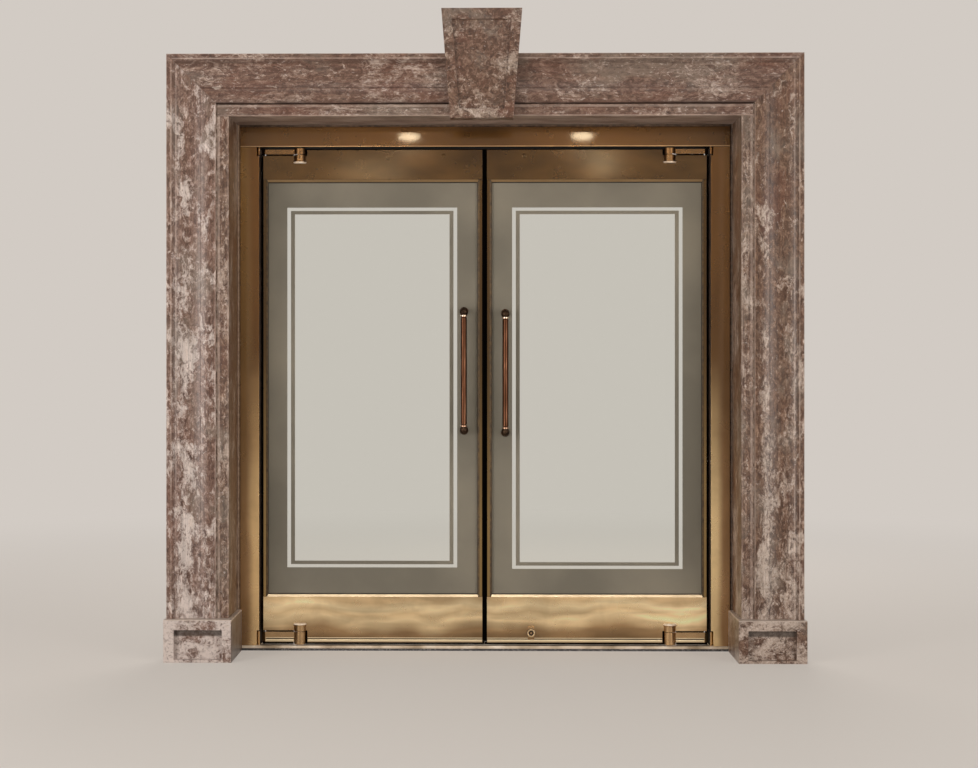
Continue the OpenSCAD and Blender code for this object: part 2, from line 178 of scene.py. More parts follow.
# Polished marble: a red-brown mottled ground under grey veils, rust stains,
# lavender clouds and white veins, with a soft sheen and no clear mirror image.
def marble(name, place, stone, run, clouds, lift=(0.0, 0.0), rust=0.3, pale_x=None,
           side_shade=0.0):
    """Marble of one block. place is where in the quarry it comes from, stone its
    dark, middle, light and cloud colour, run the way it was sawn, clouds how strong
    they are, lift how much cloudier it is above and below, rust how stained, pale_x
    where a pale bed runs down it, and the last argument how much painted shade darkens
    a plinth's inner side."""
    material, tree, shader, coords = blank(name)
    axes = add(tree, "SeparateXYZ", {"Vector": coords})
    half = add(tree, "Math", {0: axes.outputs["X"]}, operation="ABSOLUTE")
    stretch = {"upright": (1.0, 1.0, 0.55), "level": (0.5, 1.0, 1.0),
               "block": (0.9, 1.0, 1.0)}[run]
    spot = add(tree, "Mapping", {"Vector": coords, "Location": place, "Scale": stretch})
    drift = add(tree, "TexNoise", {"Vector": spot, "Scale": 22.0, "Detail": 5.0,
                                   "Roughness": 0.6})
    centred = add(tree, "VectorMath", {0: drift.outputs["Color"], 1: (0.5, 0.5, 0.5)},
                  operation="SUBTRACT")
    push = add(tree, "VectorMath", {0: centred, "Scale": 0.06}, operation="SCALE")
    bent = add(tree, "VectorMath", {0: spot, 1: push}, operation="ADD")

    # fine mottling of 4 to 16 mm in the ground colour
    grain = add(tree, "TexNoise", {"Vector": bent, "Scale": 62.0, "Detail": 9.0,
                                   "Roughness": 0.78})
    base = add(tree, "ValToRGB", {"Fac": grain},
               stops=[(0.36, stone[0]), (0.49, stone[1]), (0.62, stone[2])])

    # grey-green veils and rust-red stains of 150 mm
    veil = add(tree, "TexNoise", {"Vector": bent, "Scale": 6.0, "Detail": 7.0,
                                  "Roughness": 0.62})
    veiled = add(tree, "MapRange", {"Value": veil, "From Min": 0.53, "From Max": 0.63,
                                    "To Max": 0.5})
    cool = add(tree, "MixRGB", {"Fac": veiled, "Color1": base, "Color2": "#80756a"})
    stained = add(tree, "MapRange", {"Value": veil, "From Min": 0.47, "From Max": 0.38,
                                     "To Max": rust})
    warm = add(tree, "MixRGB", {"Fac": stained, "Color1": cool, "Color2": "#6b3f2e"})

    # lavender-grey clouds of 40 to 110 mm with a crumbled edge, in them paler
    # specks of 8 mm
    cloud = add(tree, "TexNoise", {"Vector": bent, "Scale": 9.0, "Detail": 9.0,
                                   "Roughness": 0.72})
    lifted = add(tree, "MapRange", {"Value": axes.outputs["Z"], "From Min": 2.1,
                                    "From Max": 1.0, "To Min": lift[0], "To Max": lift[1]})
    crumb = add(tree, "Math", {0: grain, 1: 0.7, 2: lifted}, operation="MULTIPLY_ADD")
    heap = add(tree, "Math", {0: cloud, 1: crumb}, operation="ADD")
    if pale_x:
        off = add(tree, "Math", {0: axes.outputs["X"], 1: pale_x}, operation="SUBTRACT")
        size = add(tree, "Math", {0: off}, operation="ABSOLUTE")
        bed = add(tree, "MapRange", {"Value": size, "From Min": 0.035, "From Max": 0.0,
                                     "To Max": 0.11})
        down = add(tree, "MapRange", {"Value": axes.outputs["Z"], "From Min": 2.0,
                                      "From Max": 1.8})
        heap = add(tree, "Math", {0: bed, 1: down, 2: heap}, operation="MULTIPLY_ADD")
    misted = add(tree, "MapRange", {"Value": heap, "From Min": 0.86, "From Max": 0.99,
                                    "To Max": clouds})
    clouded = add(tree, "MixRGB", {"Fac": misted, "Color1": warm, "Color2": stone[3]})
    speck = add(tree, "TexNoise", {"Vector": bent, "Scale": 118.0, "Detail": 6.0,
                                   "Roughness": 0.7})
    near_cloud = add(tree, "MapRange", {"Value": heap, "From Min": 0.8, "From Max": 0.98,
                                        "To Max": 0.07})
    flake = add(tree, "Math", {0: speck, 1: near_cloud}, operation="ADD")
    flaked = add(tree, "MapRange", {"Value": flake, "From Min": 0.61, "From Max": 0.67,
                                    "To Max": 0.6})
    flecked = add(tree, "MixRGB", {"Fac": flaked, "Color1": clouded, "Color2": "#d1c5be"})

    # broken shell, up to 40 mm long and 6 mm thick, and dark brown pits of 8 mm
    shell = shards(tree, bent, 13.0, (0.02, 0.0028, 0.009), 0.5)
    faint = add(tree, "MapRange", {"Value": speck, "From Min": 0.4, "From Max": 0.58,
                                   "To Min": 0.1, "To Max": 0.75})
    pale = add(tree, "Math", {0: shell, 1: faint}, operation="MULTIPLY")
    shelled = add(tree, "MixRGB", {"Fac": pale, "Color1": flecked, "Color2": "#cfc0b5"})
    pitted = add(tree, "MapRange", {"Value": speck, "From Min": 0.45, "From Max": 0.37,
                                    "To Max": 0.75})
    browned = add(tree, "MixRGB", {"Fac": pitted, "Color1": shelled, "Color2": "#4a3228"})

    # calcite veins where a slow field crosses its middle, 1 to 6 mm wide
    field = add(tree, "TexNoise", {"Vector": bent, "Scale": 4.2, "Detail": 4.0,
                                   "Roughness": 0.5})
    off = add(tree, "Math", {0: field, 1: 0.5}, operation="SUBTRACT")
    size = add(tree, "Math", {0: off}, operation="ABSOLUTE")
    swell = add(tree, "TexNoise", {"Vector": spot, "Scale": 9.0, "Detail": 6.0,
                                   "Roughness": 0.65})
    width = add(tree, "MapRange", {"Value": swell, "From Min": 0.5, "From Max": 0.66,
                                   "To Min": 0.0, "To Max": 0.014})
    within = add(tree, "Math", {0: width, 1: size}, operation="SUBTRACT")
    vein = add(tree, "MapRange", {"Value": within, "From Min": 0.0, "From Max": 0.007,
                                  "To Max": 0.55})
    seen = add(tree, "MixRGB", {"Fac": vein, "Color1": browned, "Color2": "#c9b9ae"})

    if run == "block":
        # painted highlight along the top arris of a plinth block
        highlight_band = add(tree, "MapRange", {"Value": axes.outputs["Z"],
                                       "From Min": plinth_top - 0.0045,
                                       "From Max": plinth_top - 0.0025, "To Max": 0.75})
        foot_only = add(tree, "MapRange", {"Value": axes.outputs["Z"],
                                           "From Min": plinth_top + 0.013,
                                           "From Max": plinth_top + 0.003})
        highlight_mask = add(tree, "Math", {0: highlight_band, 1: foot_only}, operation="MULTIPLY")
        highlighted = add(tree, "MixRGB", {"Fac": highlight_mask, "Color1": seen, "Color2": "#cdbfb4"})

        # painted shadow in the sunk panel under its top edge, painted shade on the inner
        # side
        below = add(tree, "MapRange", {"Value": axes.outputs["Z"],
                                       "From Min": plinth_top - 0.004,
                                       "From Max": plinth_top - 0.006})
        inner = add(tree, "MapRange", {"Value": half, "From Min": panel_near,
                                       "From Max": panel_near + 0.005})
        outer = add(tree, "MapRange", {"Value": half, "From Min": panel_far,
                                       "From Max": panel_far - 0.005})
        sunk = add(tree, "MapRange", {"Value": axes.outputs["Y"],
                                      "From Min": panel_y - 0.004, "From Max": panel_y})
        painted_shadow = add(tree, "MapRange", {"Value": axes.outputs["Z"], "From Min": panel_shade,
                                      "From Max": panel_shade + 0.006, "To Max": 0.8})
        for mask in (inner, outer, sunk, below):
            painted_shadow = add(tree, "Math", {0: painted_shadow, 1: mask}, operation="MULTIPLY")
        shadowed = add(tree, "MixRGB", {"Fac": painted_shadow, "Color1": highlighted, "Color2": "#33261c"})
        side_face = add(tree, "MapRange", {"Value": half, "From Min": plinth_side,
                                           "From Max": plinth_side - 0.002,
                                           "To Max": side_shade})
        side_shadow = add(tree, "Math", {0: side_face, 1: below}, operation="MULTIPLY")
        seen = add(tree, "MixRGB", {"Fac": side_shadow, "Color1": shadowed, "Color2": "#46352a"})
    else:
        # saw and polishing lines along the moulding, about 8 mm apart
        drawn = {"upright": (1.0, 1.0, 0.035), "level": (0.03, 1.0, 1.0)}[run]
        pulled = add(tree, "Mapping", {"Vector": coords, "Scale": drawn})
        hair = add(tree, "TexNoise", {"Vector": pulled, "Scale": 130.0, "Detail": 4.0,
                                      "Roughness": 0.65})
        tone = add(tree, "MapRange", {"Value": hair, "From Min": 0.3, "From Max": 0.7,
                                      "To Min": 0.74, "To Max": 1.26})
        lined = add(tree, "MixRGB", {"Fac": 1.0, "Color1": seen, "Color2": tone},
                    blend_type="MULTIPLY")

        # painted shade in the quirks and under projecting edges, painted highlights on the
        # arrises; on the jambs the groove is painted pale against its shadow. The marks
        # follow the distance outward over the moulding: below 0.5 is painted shade, above
        # it painted highlight.
        across = half if run == "upright" else axes
        # quirk and edge are the painted tones of the groove and of the arris: pale on the
        # jambs, dark on the head
        flat, quirk, edge = (0.5, 0.62, 0.7) if run == "upright" else (0.76, 0.1, 0.24)
        outward = add(tree, "Math",
                      {0: across.outputs["Value" if run == "upright" else "Z"],
                       1: doorway_x if run == "upright" else doorway_z},
                      operation="SUBTRACT")
        step = add(tree, "MapRange", {"Value": outward, "From Max": moulding})
        marks = [(0.0, flat), (0.01, 0.66), (0.03, 0.5), (0.108, 0.5), (0.128, 0.36),
                 (0.145, 0.64), (0.176, 0.62), (0.188, quirk), (0.212, quirk),
                 (0.225, 0.42), (0.36, 0.5), (0.42, 0.56), (0.437, 0.34), (0.452, 0.47),
                 (0.8, 0.5), (0.822, edge), (0.834, 0.28), (0.872, 0.3), (0.886, 0.72),
                 (0.91, 0.5), (0.95, 0.5), (0.962, 0.66)]
        light_marks = add(tree, "ValToRGB", {"Fac": step}, stops=marks)
        waver = add(tree, "TexNoise", {"Vector": spot, "Scale": 16.0, "Detail": 3.0})
        broken = add(tree, "MapRange", {"Value": waver, "From Min": 0.35, "From Max": 0.6,
                                        "To Min": 0.3, "To Max": 1.0})
        low = add(tree, "MapRange", {"Value": light_marks, "From Min": 0.5, "From Max": 0.1,
                                     "To Max": 0.85})
        painted_shade = add(tree, "Math", {0: low, 1: broken}, operation="MULTIPLY")
        shaded = add(tree, "MixRGB", {"Fac": painted_shade, "Color1": lined, "Color2": "#3a261b"})
        high = add(tree, "MapRange", {"Value": light_marks, "From Min": 0.52, "From Max": 0.75,
                                      "To Max": 0.7})
        painted_highlight = add(tree, "Math", {0: high, 1: broken}, operation="MULTIPLY")
        seen = add(tree, "MixRGB", {"Fac": painted_highlight, "Color1": shaded, "Color2": "#c6b3a8"})

    gloss = add(tree, "MapRange", {"Value": grain, "From Min": 0.3, "From Max": 0.7,
                                   "To Min": 0.28, "To Max": 0.46})
    relief = add(tree, "Bump", {"Height": grain, "Strength": 0.3, "Distance": 0.0006})
    feed(tree, shader, {"Base Color": seen, "Roughness": gloss, "Normal": relief,
                        "IOR": 1.49})
    return material


rose = ("#3d241b", "#725649", "#a68e83", "#d3c8c3")
brown = ("#351d10", "#5f4433", "#927663", "#c3b3a7")
umber = ("#3a2118", "#65493c", "#896f61", "#a59286")
rusty = ("#29120a", "#583b2a", "#8a6e5e", "#b3a497")
blocks = {
    "architrave_left": marble("rose_marble_left", (3.1, 0.4, 1.7), rose, "upright", 0.9,
                              lift=(-0.01, 0.0), pale_x=-1.17),
    "architrave_right": marble("brown_marble_right", (7.7, 2.2, 5.3), brown, "upright",
                               0.8, lift=(-0.09, 0.0), pale_x=1.094),
    "architrave_head_left": marble("umber_marble_left", (1.3, 6.1, 2.9), umber, "level",
                                   0.6),
    "architrave_head_right": marble("umber_marble_right", (9.4, 3.3, 8.1), umber,
                                    "level", 0.55),
    "keystone": marble("rust_marble", (4.2, 8.8, 6.6), rusty, "block", 0.6, rust=0.6),
    "plinth_left": marble("pale_rose_marble", (5.5, 1.9, 3.2), rose, "block", 0.85,
                          lift=(0.0, 0.11), side_shade=0.75),
    "plinth_right": marble("pale_brown_marble", (2.6, 7.3, 9.9), brown, "block", 0.8,
                           lift=(0.0, 0.07), side_shade=0.2),
    "reveal_left": marble("rose_marble_slab", (6.4, 5.1, 0.8), brown, "upright", 0.6,
                          lift=(0.0, 0.02)),
    "reveal_right": marble("brown_marble_slab", (8.6, 4.7, 2.4), brown, "upright", 0.6,
                           lift=(0.0, 0.02)),
    "reveal_head": marble("umber_marble_slab", (0.9, 9.2, 4.1), umber, "level", 0.35),
}
for node, stone in blocks.items():
    dressed(node, "surround", stone, 0.002)


# Joint between the reveal slabs and the architrave: pointed with lime mortar on
# the uprights, struck a little back from the stone.
def bar(low, high, arris=0.0, segments=2):
    """A straight bar between two corners, its long edges eased."""
    deselect_all()
    middle = [(a + b) / 2 for a, b in zip(low, high)]
    sides = [abs(b - a) for a, b in zip(low, high)]
    bpy.ops.mesh.primitive_cube_add(size=1, location=middle, scale=sides)
    piece = bpy.context.object
    bpy.ops.object.transform_apply(location=True, rotation=True, scale=True)
    if arris:
        bpy.ops.object.mode_set(mode="EDIT")
        bpy.ops.mesh.bevel(offset=arris, segments=segments, clamp_overlap=True)
        bpy.ops.object.mode_set(mode="OBJECT")
    return piece


def twin(pattern, move=(0, 0, 0), turn=(0, 0, 0)):
    """A copy of a pattern piece with its own mesh, turned and moved to its place."""
    pick(pattern)
    bpy.ops.object.duplicate()
    copy = bpy.context.object
    copy.rotation_euler = turn
    copy.location = move
    bpy.ops.object.transform_apply(location=True, rotation=True, scale=True)
    return copy


def reach(pattern):
    """How far a piece right of the middle moves to lie as far left of it."""
    ends = [corner.co.x for corner in pattern.data.vertices]
    return min(ends) + max(ends)


def both_sides(pattern):
    """A left and a right copy of a piece that is made for the right side."""
    made = (("left", twin(pattern, (-reach(pattern), 0, 0))), ("right", twin(pattern)))
    bpy.data.objects.remove(pattern)
    return made


# Lime mortar: pale, rough and without gloss, with 18 mm patches of sand and grit,
# so that the joint reads as a soft light line.
lime, tree, shader, coords = blank("lime_pointing")
gritty = add(tree, "TexNoise", {"Vector": coords, "Scale": 55.0, "Detail": 5.0})
sandy = add(tree, "ValToRGB", {"Fac": gritty},
            stops=[(0.38, "#6f5c50"), (0.5, "#9c897c"), (0.62, "#b8a89c")])
feed(tree, shader, {"Base Color": sandy, "Roughness": 0.8})
joint = bar((1.0473, -0.1538, 0.1672), (1.0517, -0.1432, 2.178), 0.0006)
for side, piece in both_sides(ease_normals(joint)):
    settle(piece, side + "_pointing", "surround", lime)


# Sill bed under the threshold: dark granite, sawn and honed, bedded level on
# the floor. Honed granite gives matt dark grey with lighter crystals of 4 mm.
granite, tree, shader, coords = blank("honed_granite")
crystal = add(tree, "TexVoronoi", {"Vector": coords, "Scale": 260.0})
shade = add(tree, "SeparateColor", {"Color": crystal.outputs["Color"]})
flecks = add(tree, "ValToRGB", {"Fac": shade.outputs[0]},
             stops=[(0.0, "#2c2b2d"), (0.5, "#454446"), (0.8, "#5c5a5b"),
                    (0.97, "#8a8785")])
feed(tree, shader, {"Base Color": flecks, "Roughness": 0.55})
dressed("stone_sill", "surround", granite, 0.001)


# Brass frame: sheet folded over a core, lacquered satin, slightly dented, with
# painted reflections: dark brown above, bright below and toward the doorway.
def brass(name, tone, waves=(1.0, 1.0, 1.0), contrast=0.1, dent=0.0, satin=(0.27, 0.3),
          lacquer=0.05):
    """Aged brass under clear lacquer: broad soft reflections in the metal and a
    faint sharp one on top. tone is a colour, or gives the colour output for the
    coordinates; waves stretches the broad soft bands of painted reflection and the
    sheet's waves."""
    material, tree, shader, coords = blank(name)
    tint = tone if isinstance(tone, str) else tone(tree, coords)

    # painted reflection: broad soft lighter and darker bands, 100 to 300 mm long
    laid = add(tree, "Mapping", {"Vector": coords, "Scale": waves})
    swell = add(tree, "TexNoise", {"Vector": laid, "Scale": 4.0, "Detail": 2.0,
                                   "Roughness": 0.4})
    light = add(tree, "MapRange", {"Value": swell, "From Min": 0.3, "From Max": 0.7,
                                   "To Min": 1 - contrast, "To Max": 1 + contrast})
    lifted = add(tree, "MixRGB", {"Fac": 1.0, "Color1": tint, "Color2": light},
                 blend_type="MULTIPLY")

    # brown age spots of 20 to 70 mm, hardly to be seen
    fine = add(tree, "TexNoise", {"Vector": coords, "Scale": 14.0, "Detail": 3.0})
    stain = add(tree, "MapRange", {"Value": fine, "From Min": 0.52, "From Max": 0.72,
                                   "To Max": 0.14})
    stained = add(tree, "MixRGB", {"Fac": stain, "Color1": lifted, "Color2": "#6a4a28"})
    polish = add(tree, "MapRange", {"Value": fine, "From Min": 0.35, "From Max": 0.65,
                                    "To Min": satin[0], "To Max": satin[1]})

    # long shallow waves in the sheet; the lacquer over them is level
    sheet = add(tree, "Bump", {"Height": swell, "Strength": 0.6, "Distance": dent})
    feed(tree, shader, {"Base Color": stained, "Metallic": 1.0, "Roughness": polish,
                        "Normal": sheet, "Coat Weight": 0.5, "Coat Roughness": lacquer})
    return material


def reflection_tone(low, high, far_low=None, far_high=None):
    """Painted reflection: bright low down, brown above. The far tones are those of a jamb's
    outer side.
    """
    def tone(tree, coords):
        axes = add(tree, "SeparateXYZ", {"Vector": coords})
        wander = add(tree, "TexNoise", {"Vector": coords, "Scale": 3.0, "Detail": 2.0})
        below, above = low, high
        if far_low:
            half = add(tree, "Math", {0: axes.outputs["X"]}, operation="ABSOLUTE")
            shift = add(tree, "Math", {0: wander, 1: 0.03, 2: half},
                        operation="MULTIPLY_ADD")
            out = add(tree, "MapRange", {"Value": shift, "From Min": 0.95,
                                         "From Max": 0.982},
                      interpolation_type="SMOOTHSTEP")
            below = add(tree, "MixRGB", {"Fac": out, "Color1": low, "Color2": far_low})
            above = add(tree, "MixRGB", {"Fac": out, "Color1": high, "Color2": far_high})
        rise = add(tree, "Math", {0: wander, 1: 0.7, 2: axes.outputs["Z"]},
                   operation="MULTIPLY_ADD")
        upper_reflection = add(tree, "MapRange", {"Value": rise, "From Min": 0.5, "From Max": 1.75},
                  interpolation_type="SMOOTHSTEP")
        return add(tree, "MixRGB", {"Fac": upper_reflection, "Color1": below, "Color2": above})
    return tone


# Sheet brass with painted reflections: gold low down, olive brown above.
left_jamb_brass = brass("lacquered_brass_left_jamb",
                        reflection_tone("#e6c18a", "#755028", "#a8835a", "#88673d"),
                        (3.0, 1.0, 0.6), 0.14, dent=0.0015)
right_jamb_brass = brass("lacquered_brass_right_jamb",
                         reflection_tone("#f2d39d", "#6f4d28", "#ac875f", "#7e5c39"),
                         (3.0, 1.0, 0.6), 0.14, dent=0.0015)
# the head's dark brown is the painted reflection of the upper parts
head_brass = brass("lacquered_brass_head", "#64482a", (0.5, 1.0, 3.0), 0.15, dent=0.0015)
dressed("frame_jamb_left", "surround", left_jamb_brass, 0.002)
dressed("frame_jamb_right", "surround", right_jamb_brass, 0.002)
dressed("frame_head", "surround", head_brass, 0.002, 3)


# Threshold: thick brass plate over the sill bed, walked grey and dull, with
# fine grip ribs along its top, 8 mm apart. Half its metal look is gone under
# pale scratches and dirt in patches of 110 mm.
step_brass, tree, shader, coords = blank("walked_brass_plate")
wear = add(tree, "TexNoise", {"Vector": coords, "Scale": 9.0, "Detail": 7.0})
walked = add(tree, "ValToRGB", {"Fac": wear},
             stops=[(0.35, "#a8967f"), (0.5, "#d8c8b2"), (0.62, "#f2e8da")])
apart = add(tree, "Mapping", {"Vector": coords, "Scale": (0.0, 100.0, 0.0)})
rib = add(tree, "TexWave", {"Vector": apart, "Scale": 0.4}, bands_direction="Y")
ribbed = add(tree, "Bump", {"Height": rib.outputs["Fac"], "Strength": 0.6,
                            "Distance": 0.0008})
feed(tree, shader, {"Base Color": walked, "Metallic": 0.5, "Roughness": 0.45,
                    "Normal": ribbed})
dressed("threshold", "surround", step_brass, 0.001)


# Sealant in the joint between brass and marble: brown silicone, tooled hollow
# with a wet finger.
def choose(piece, kind, test):
    """Enters edit mode with the faces or edges selected that pass a test."""
    pick(piece)
    bpy.ops.object.mode_set(mode="EDIT")
    bpy.ops.mesh.select_mode(type=kind)
    bpy.ops.mesh.select_all(action="DESELECT")
    bpy.ops.object.mode_set(mode="OBJECT")
    mesh = piece.data
    if kind == "FACE":
        for face in mesh.polygons:
            face.select = bool(test(face.center, face.normal))
    else:
        for edge in mesh.edges:
            first, second = (mesh.vertices[i].co for i in edge.vertices)
            edge.select = bool(test((first + second) / 2, (second - first).normalized()))
    bpy.ops.object.mode_set(mode="EDIT")


# Silicone: brown and half matt, patchy every 17 mm; in the left joint it is painted
# much paler, as painted light against the joint's shadow.
def silicone(name, dark, light):
    """Tooled silicone of two tones."""
    material, tree, shader, coords = blank(name)
    dusty = add(tree, "TexNoise", {"Vector": coords, "Scale": 60.0, "Detail": 3.0})
    skin = add(tree, "ValToRGB", {"Fac": dusty}, stops=[(0.35, dark), (0.65, light)])
    feed(tree, shader, {"Base Color": skin, "Roughness": 0.6})
    return material


hollow = 0.0025


def hollowed(strip):
    """A strip of sealant with its front drawn back between its edges."""
    choose(strip, "FACE", lambda middle, normal: normal.y < -0.9)
    bpy.ops.mesh.inset(thickness=hollow)
    bpy.ops.transform.translate(value=(0, hollow, 0))
    return ease_normals(strip, 60)


sealants = {"left": silicone("pale_painted_silicone", "#866d58", "#a58b74"),
            "right": silicone("brown_silicone", "#38281b", "#5f4a38")}
upright = bar((0.9917, 0.118, 0.0215), (1.0013, 0.1265, 2.1315))
for side, piece in both_sides(hollowed(upright)):
    settle(piece, "sealant_" + side, "surround", sealants[side])
level = hollowed(bar((-0.9915, 0.118, 2.1222), (0.9915, 0.1265, 2.1315)))
settle(level, "sealant_head", "surround", sealants["right"])


# Lower edge of the frame head: a narrow brass lip the whole width, painted paler
# and yellower than the sheet above it as a highlight along the edge.
edge_highlight_brass = brass("highlight_brass_lip", "#c8a47a", contrast=0.15)
lip = ease_normals(bar((-0.991, 0.1143, 2.0424), (0.991, 0.1165, 2.0462), 0.0007))
settle(lip, "head_lip", "surround", edge_highlight_brass)


# Leaf rails and edge channels: brass sheet folded over steel, lacquered. The low
# rails carry wavy painted reflections; the top ones are painted dark brown, a
# painted reflection too.
def rail_reflection_tone(tree, coords):
    """Painted reflection bands along a low rail, 240 mm long: brown at the foot, pale
    above.
    """
    axes = add(tree, "SeparateXYZ", {"Vector": coords})
    along = add(tree, "Mapping", {"Vector": coords, "Scale": (1.0, 1.0, 0.35)})
    wander = add(tree, "TexNoise", {"Vector": along, "Scale": 4.2, "Detail": 1.6,
                                    "Roughness": 0.4})
    bow = add(tree, "Math", {0: wander, 1: 0.17, 2: axes.outputs["Z"]},
              operation="MULTIPLY_ADD")
    rise = add(tree, "MapRange", {"Value": bow, "From Min": 0.118, "From Max": 0.303})
    bands = add(tree, "ValToRGB", {"Fac": rise},
                stops=[(0.04, "#876a48"), (0.26, "#a98860"), (0.45, "#e0c497"),
                       (0.55, "#f8dcac"), (0.68, "#dfc294"), (0.82, "#fbe2b3"),
                       (0.97, "#dcbd8f")])

    # long dim lenses of painted reflection where the sheet leans away, and the right leaf
    # painted a little lighter
    drawn = add(tree, "Mapping", {"Vector": coords, "Location": (0.3, 0.0, 0.1),
                                  "Scale": (0.9, 1.0, 6.0)})
    lens = add(tree, "TexNoise", {"Vector": drawn, "Scale": 3.4, "Detail": 1.5,
                                  "Roughness": 0.4, "Distortion": 0.6})
    dim_reflection = add(tree, "MapRange", {"Value": lens, "From Min": 0.38, "From Max": 0.62,
                                  "To Min": 0.8, "To Max": 1.16})
    right_leaf_light = add(tree, "MapRange", {"Value": axes.outputs["X"], "From Min": -0.02,
                                       "From Max": 0.02, "To Min": 1.0, "To Max": 1.1})
    lit = add(tree, "Math", {0: dim_reflection, 1: right_leaf_light}, operation="MULTIPLY")
    return add(tree, "MixRGB", {"Fac": 1.0, "Color1": bands, "Color2": lit},
               blend_type="MULTIPLY")


# The duller lacquer of the top rails spreads a lamp's mirror image to a glow.
low_rail_brass = brass("lacquered_brass_low_rail", rail_reflection_tone, (1.5, 1.0, 3.0), 0.08,
                       dent=0.002)
top_rail_brass = brass("lacquered_brass_top_rail", "#533d22", (1.3, 1.0, 3.0), 0.3,
                       dent=0.0015, lacquer=0.13)
edge_brass = brass("lacquered_brass_edge", reflection_tone("#967a4c", "#553f22"),
                   (3.0, 1.0, 0.5), 0.12, dent=0.0015)
for side in ("left", "right"):
    for part, finish, arris in (("_top_rail", top_rail_brass, 0.002),
                                ("_bottom_rail", low_rail_brass, 0.002),
                                ("_hinge_edge", edge_brass, 0.0015),
                                ("_meeting_edge", edge_brass, 0.0015)):
        dressed(side + part, side + "_leaf", finish, arris)


# Glazing beads: bevelled brass strips that hold the glass at both rails, on
# both faces, with a thin black gasket between them and the glass.
pane_near, pane_far = 0.0267, 0.8813
glass_front, leaf_middle, glass_back = 0.137, 0.143, 0.149


def all_four(pattern):
    """Copies of a piece made for the right leaf's outside face, on both faces of
    both leaves. The inside ones are turned half round."""
    over, half_turn = reach(pattern), (0, 0, math.pi)
    made = (("left", "outside", twin(pattern, (-over, 0, 0))),
            ("right", "outside", twin(pattern)),
            ("left", "inside", twin(pattern, (0, 2 * leaf_middle, 0), half_turn)),
            ("right", "inside", twin(pattern, (over, 2 * leaf_middle, 0), half_turn)))
    bpy.data.objects.remove(pattern)
    return made


# Bead brass: the brightest of the door, its paleness a painted highlight.
bead_brass = brass("bright_brass_bead", reflection_tone("#f2dcb8", "#a5875f"),
                   (0.8, 1.0, 1.0), 0.08, satin=(0.3, 0.36))
bead_front, bead_back, slope = 0.1214, 0.1362, 0.0055
for end, low_z, high_z, free_z in (("low", 0.2178, 0.2275, 0.2275),
                                   ("top", 1.9, 1.9092, 1.9)):
    bead = bar((pane_near, bead_front, low_z), (pane_far, bead_back, high_z))
    choose(bead, "EDGE", lambda middle, way: abs(way.x) > 0.9
           and abs(middle.z - free_z) < 0.001 and abs(middle.y - bead_front) < 0.001)
    bpy.ops.transform.translate(value=(0, slope, 0))
    choose(bead, "EDGE", lambda middle, way: abs(way.x) > 0.9)
    bpy.ops.mesh.bevel(offset=0.0006, segments=2, clamp_overlap=True)
    for side, face, piece in all_four(ease_normals(bead)):
        settle(piece, "_".join((side, face, end, "bead")), side + "_leaf",
               bead_brass)

# Rubber: near black and matt, with a chalky bloom every 11 mm.
rubber, tree, shader, coords = blank("black_rubber")
chalky = add(tree, "TexNoise", {"Vector": coords, "Scale": 90.0, "Detail": 2.0})
black = add(tree, "ValToRGB", {"Fac": chalky}, stops=[(0.35, "#1b1815"), (0.7, "#2f2a24")])
feed(tree, shader, {"Base Color": black, "Roughness": 0.65})
pane_low, pane_top, gasket_width, gasket_depth = 0.2275, 1.9, 0.0032, 0.0016
middle_x, middle_z = (pane_near + pane_far) / 2, (pane_low + pane_top) / 2
deselect_all()
bpy.ops.mesh.primitive_plane_add(size=1, rotation=(math.radians(90), 0, 0),
                                 location=(middle_x, glass_front - 0.0001, middle_z))
gasket = bpy.context.object
bpy.ops.object.transform_apply(location=True, rotation=True, scale=True)
bpy.ops.object.mode_set(mode="EDIT")
bpy.ops.transform.resize(value=(pane_far - pane_near, 1, pane_top - pane_low),
                         center_override=(middle_x, glass_front, middle_z))
bpy.ops.mesh.inset(thickness=gasket_width)
bpy.ops.mesh.delete(type="FACE")
bpy.ops.mesh.select_all(action="SELECT")
bpy.ops.mesh.extrude_region_move(TRANSFORM_OT_translate={"value": (0, -gasket_depth, 0)})
bpy.ops.mesh.select_all(action="SELECT")
bpy.ops.mesh.normals_make_consistent(inside=False)
choose(gasket, "EDGE", lambda middle, way: abs(middle.y - glass_front) > 0.0012
       and abs(way.y) < 0.1)
bpy.ops.mesh.bevel(offset=0.0005, segments=2, clamp_overlap=True)
for side, face, piece in all_four(ease_normals(gasket)):
    settle(piece, side + "_" + face + "_gasket", side + "_leaf", rubber)


# Glass: toughened sheet, 12 mm, with an etched border, a clear line, an etched
# line and a clear panel. The etching is a matt skin on the outside face.
# Clear glass has a faint grey-green cast and a wiped film that blurs it a little.
clear_glass, tree, shader, coords = blank("toughened_glass")
smear = add(tree, "TexNoise", {"Vector": coords, "Scale": 6.0, "Detail": 4.0})
film = add(tree, "MapRange", {"Value": smear, "From Min": 0.4, "From Max": 0.7,
                              "To Min": 0.015, "To Max": 0.05})
feed(tree, shader, {"Roughness": film, "Base Color": "#eff2ee", "Transmission Weight": 1.0,
                    "IOR": 1.5})

# Etched glass: milky, matt and a third see-through. Its grain is drawn 1.4 mm
# wide, ten times the real one, so that it shows.
etched, tree, shader, coords = blank("etched_glass")
flow = add(tree, "TexNoise", {"Vector": coords, "Scale": 1.6, "Detail": 5.0})
milky = add(tree, "ValToRGB", {"Fac": flow},
            stops=[(0.38, "#827d70"), (0.5, "#918b7d"), (0.62, "#9c9585")])
frost = add(tree, "TexNoise", {"Vector": coords, "Scale": 700.0, "Detail": 2.0})
matt = add(tree, "Bump", {"Height": frost, "Strength": 0.2, "Distance": 0.0002})
feed(tree, shader, {"Base Color": milky, "Normal": matt, "Roughness": 0.6,
                    "Transmission Weight": 0.35, "IOR": 1.45})

